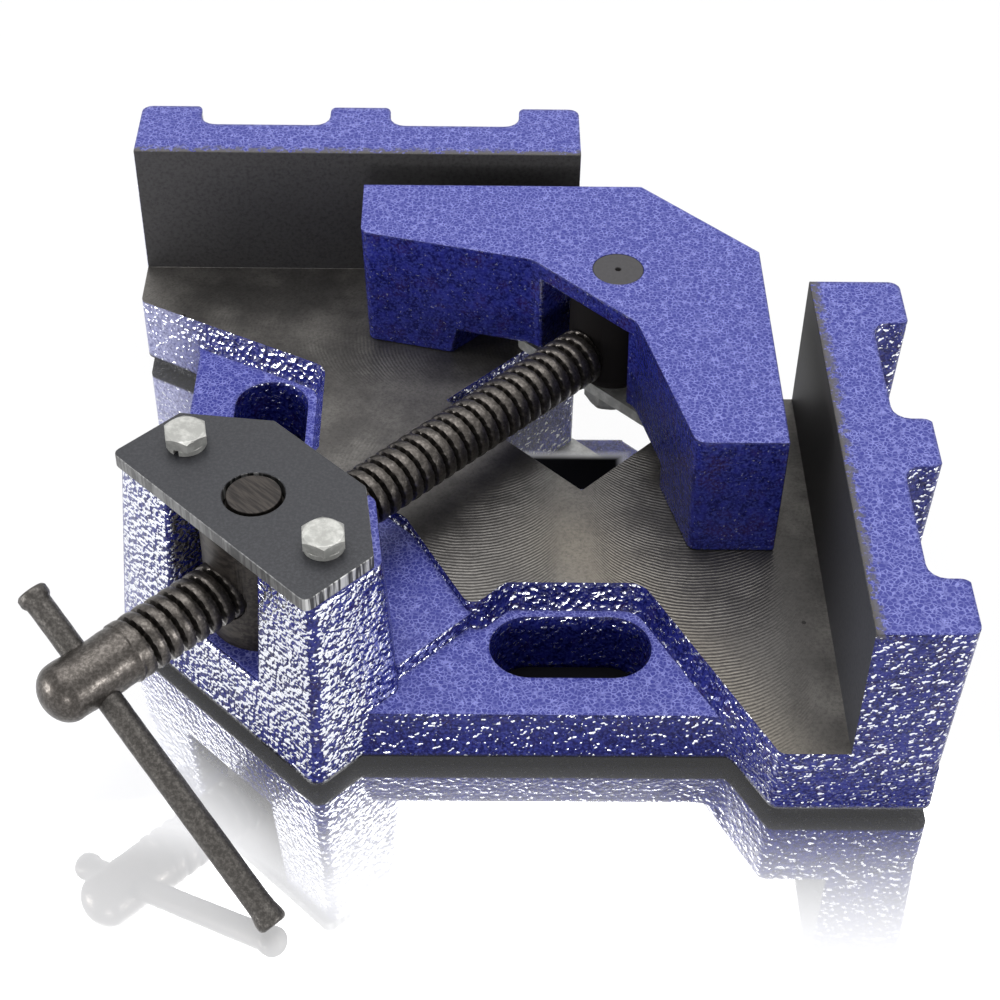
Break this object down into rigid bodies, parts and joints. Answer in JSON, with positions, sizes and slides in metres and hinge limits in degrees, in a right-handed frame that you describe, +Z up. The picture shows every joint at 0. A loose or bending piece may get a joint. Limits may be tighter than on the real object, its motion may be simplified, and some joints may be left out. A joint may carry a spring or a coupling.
{
  "type": "corner clamp",
  "caption": "Cast corner clamp: an L-shaped jaw on a swivelling screw presses two workpieces into a fixed right-angled corner, with slotted ears for bolting down.",
  "frame": {"origin": "under the vertical axis on which the screw's nut swivels, on the surface that the clamp stands on", "axes": "+Z is up. +X runs along the rear fixed jaw's working face, +Y along the right one's. The corner of the two faces is on the line X = Y, at X = Y = 144.2 mm, and the screw lies over that line"},
  "size_m": [0.2236, 0.2526, 0.0703],
  "materials": {
    "cast_paint": "hammered blue-violet enamel over a casting, machined bare on the deck and the working faces",
    "jaw_paint": "hammered blue-violet enamel over a casting, machined bare on the two working faces",
    "dark_plate": "dark, finely scratched",
    "zinc": "bright zinc plating",
    "dark_steel": "turned, dark",
    "screw_steel": "turned, worn, oily"
  },
  "bodies": {
    "base": {"base_casting": "cast_paint", "cover_plate": "dark_plate", "cover_bolt_left": "zinc", "cover_bolt_right": "zinc", "cover_washer_left": "zinc", "cover_washer_right": "zinc"},
    "nut": {"swivel_nut": "dark_steel"},
    "carriage": {"pivot_pin": "dark_steel", "journal_dowel": "dark_steel", "keeper_plate": "zinc", "keeper_washer": "zinc", "keeper_bolt": "zinc"},
    "jaw": {"moving_jaw": "jaw_paint"},
    "screw": {"spindle": "screw_steel"},
    "bar": {"tommy_bar": "screw_steel"}
  },
  "joints": [
    {"name": "nut_swivel", "type": "hinge", "parent": "base", "child": "nut", "pos_m": [0, 0, 0.0412], "axis": [0, 0, 1], "range_deg": [-1, 1]},
    {"name": "jaw_travel", "type": "slide", "parent": "nut", "child": "carriage", "axis": [0.7071, 0.7071, 0], "range_m": [-0.032, 0.01]},
    {"name": "jaw_swivel", "type": "hinge", "parent": "carriage", "child": "jaw", "pos_m": [0.09277, 0.09277, 0.045], "axis": [0, 0, 1], "range_deg": [-1, 1]},
    {"name": "spindle_turn", "type": "hinge", "parent": "carriage", "child": "screw", "pos_m": [0, 0, 0.0412], "axis": [0.7071, 0.7071, 0], "range_deg": [-2881, 901]},
    {"name": "bar_slide", "type": "slide", "parent": "screw", "child": "bar", "axis": [0.6061, -0.6061, -0.515], "range_m": [-0.06, 0.012]}
  ],
  "couplings": [
    {"joint": "spindle_turn", "follows": "jaw_travel", "rad_per_m": 1570.8}
  ]
}
